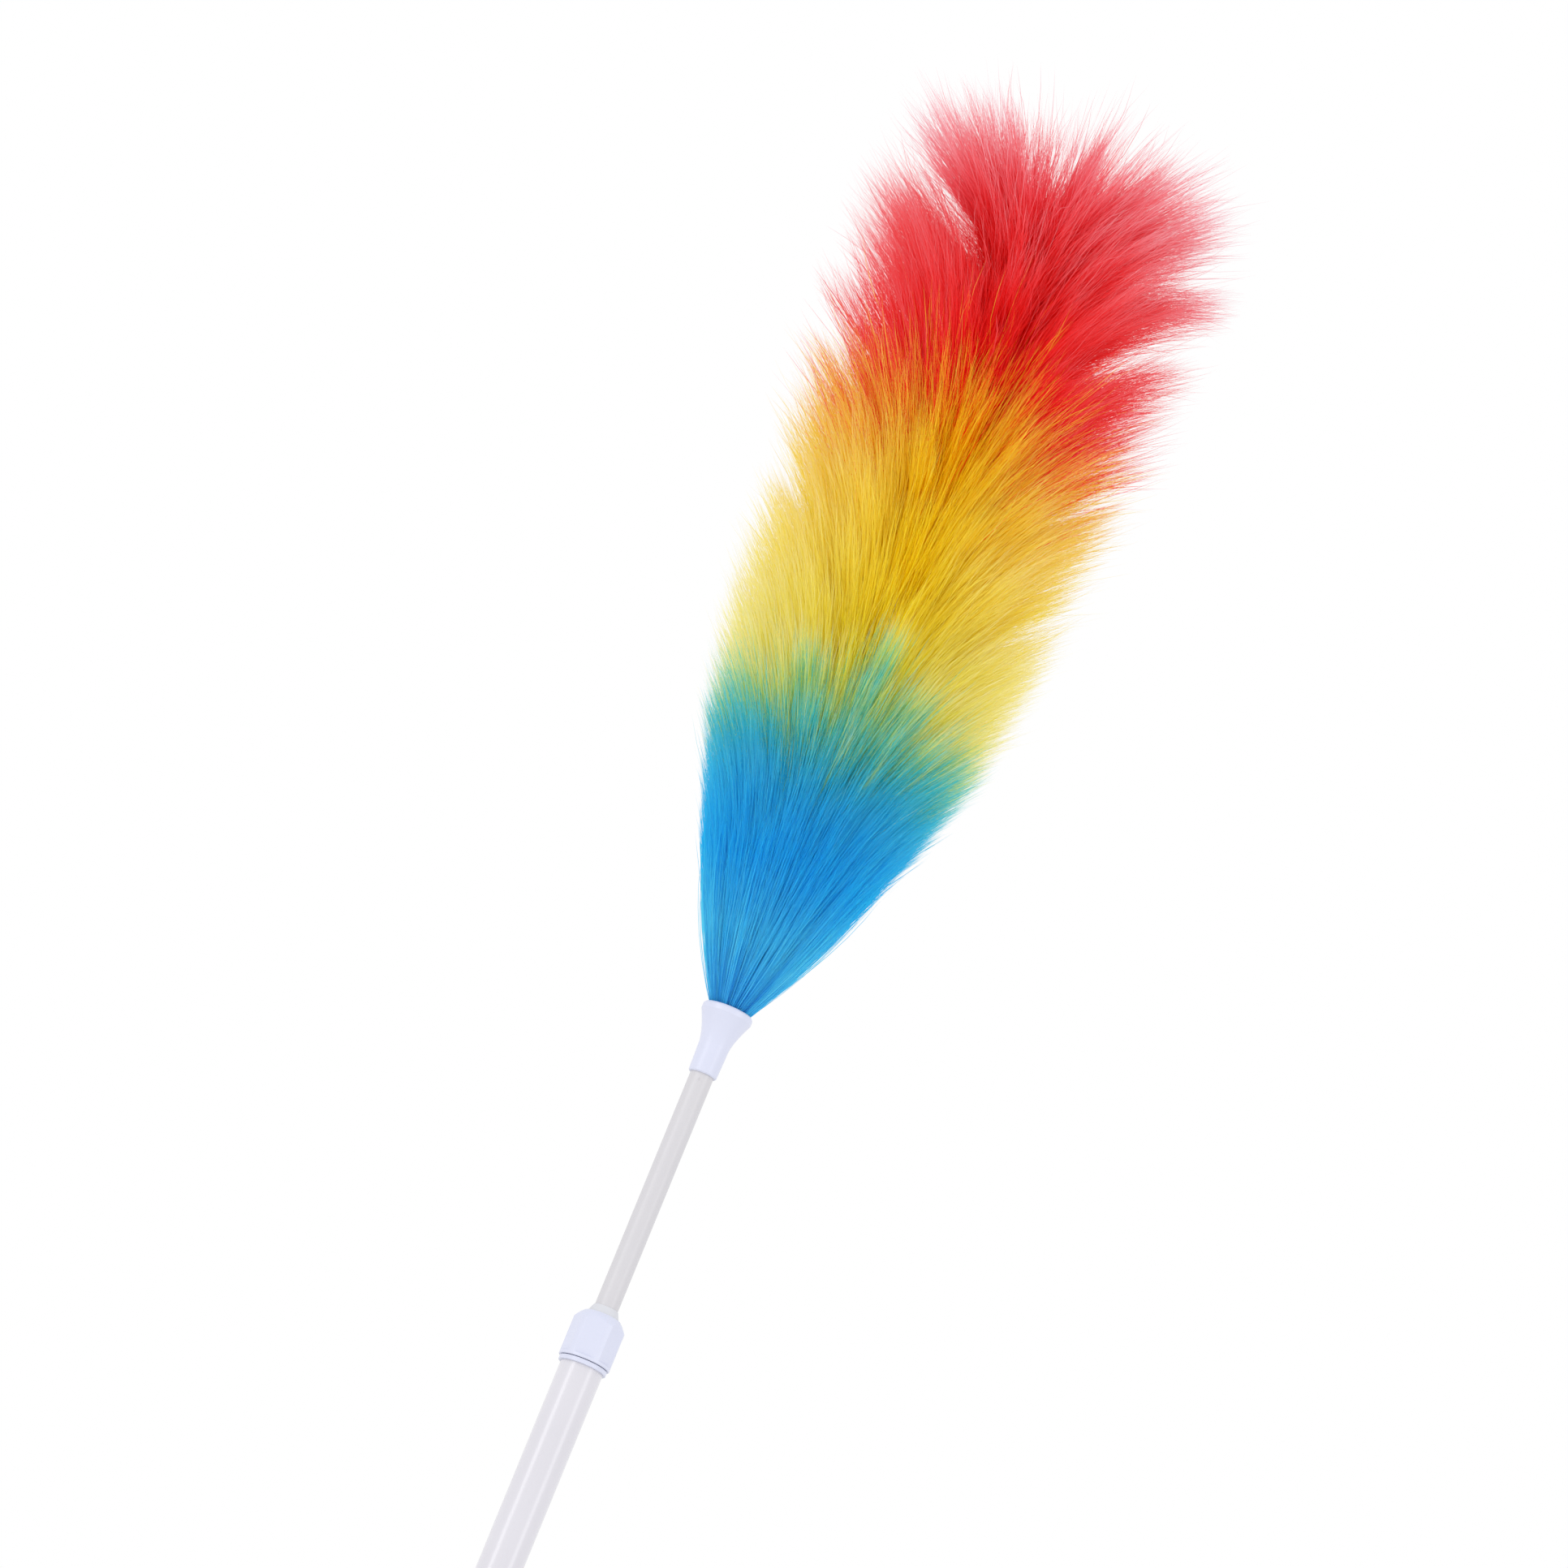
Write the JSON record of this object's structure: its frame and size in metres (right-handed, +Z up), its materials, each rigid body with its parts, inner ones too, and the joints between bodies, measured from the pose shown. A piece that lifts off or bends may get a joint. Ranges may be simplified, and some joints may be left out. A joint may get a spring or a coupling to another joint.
{
  "type": "feather duster",
  "caption": "Telescopic duster: a steel pole in two sections with a twist lock, and a long soft head of synthetic fibres twisted into a wire core, in three colours.",
  "frame": {"origin": "on the pole's axis, at the middle of the hand grip's plain band", "axes": "+Z runs up the pole towards the fibre head; -Y is the front, where the hang eye's hole opens; +X is to the right seen from the front"},
  "size_m": [0.182, 0.182, 1.4235],
  "materials": {
    "outer_tube_paint": "gloss white powder coat",
    "inner_tube_paint": "satin grey-white paint",
    "white_plastic": "semi-gloss moulded polypropylene, cool white",
    "collet_plastic": "matt acetal, grey-white",
    "grip_plastic": "soft matt moulded plastic",
    "spring_steel": "spring steel",
    "galvanised_wire": "galvanised wire",
    "fibre_blue": "fine translucent synthetic fibre, blue",
    "fibre_yellow": "fine translucent synthetic fibre, yellow",
    "fibre_red": "fine translucent synthetic fibre, red to pink"
  },
  "bodies": {
    "handle": {"outer_tube": "outer_tube_paint", "hand_grip": "grip_plastic", "hang_cap": "white_plastic", "lock_body": "white_plastic"},
    "collet": {"collet": "collet_plastic"},
    "lock_nut": {"lock_nut": "white_plastic"},
    "rear_bush": {"rear_bush": "collet_plastic"},
    "inner_pole": {"inner_tube": "inner_tube_paint", "inner_end_plug": "collet_plastic", "stop_ring": "spring_steel", "ferrule": "white_plastic", "wire_anchor": "collet_plastic", "core_wire_a": "galvanised_wire", "core_wire_b": "galvanised_wire", "tip_cap": "white_plastic", "fibres_blue": "fibre_blue", "fibres_yellow": "fibre_yellow", "fibres_red": "fibre_red"}
  },
  "joints": [
    {"name": "pole_slide", "type": "slide", "parent": "handle", "child": "rear_bush", "axis": [0, 0, 1], "range_m": [-0.124, 0.51]},
    {"name": "head_spin", "type": "hinge", "parent": "rear_bush", "child": "inner_pole", "pos_m": [0, 0, 0.1], "axis": [0, 0, 1], "continuous": true},
    {"name": "collet_lift", "type": "slide", "parent": "handle", "child": "collet", "axis": [0, 0, 1], "range_m": [0, 0.0015]},
    {"name": "nut_turn", "type": "hinge", "parent": "collet", "child": "lock_nut", "pos_m": [0, 0, 0.67], "axis": [0, 0, 1], "range_deg": [0, 180]}
  ],
  "couplings": [
    {"joint": "collet_lift", "follows": "nut_turn", "m_per_rad": 0.000477}
  ]
}
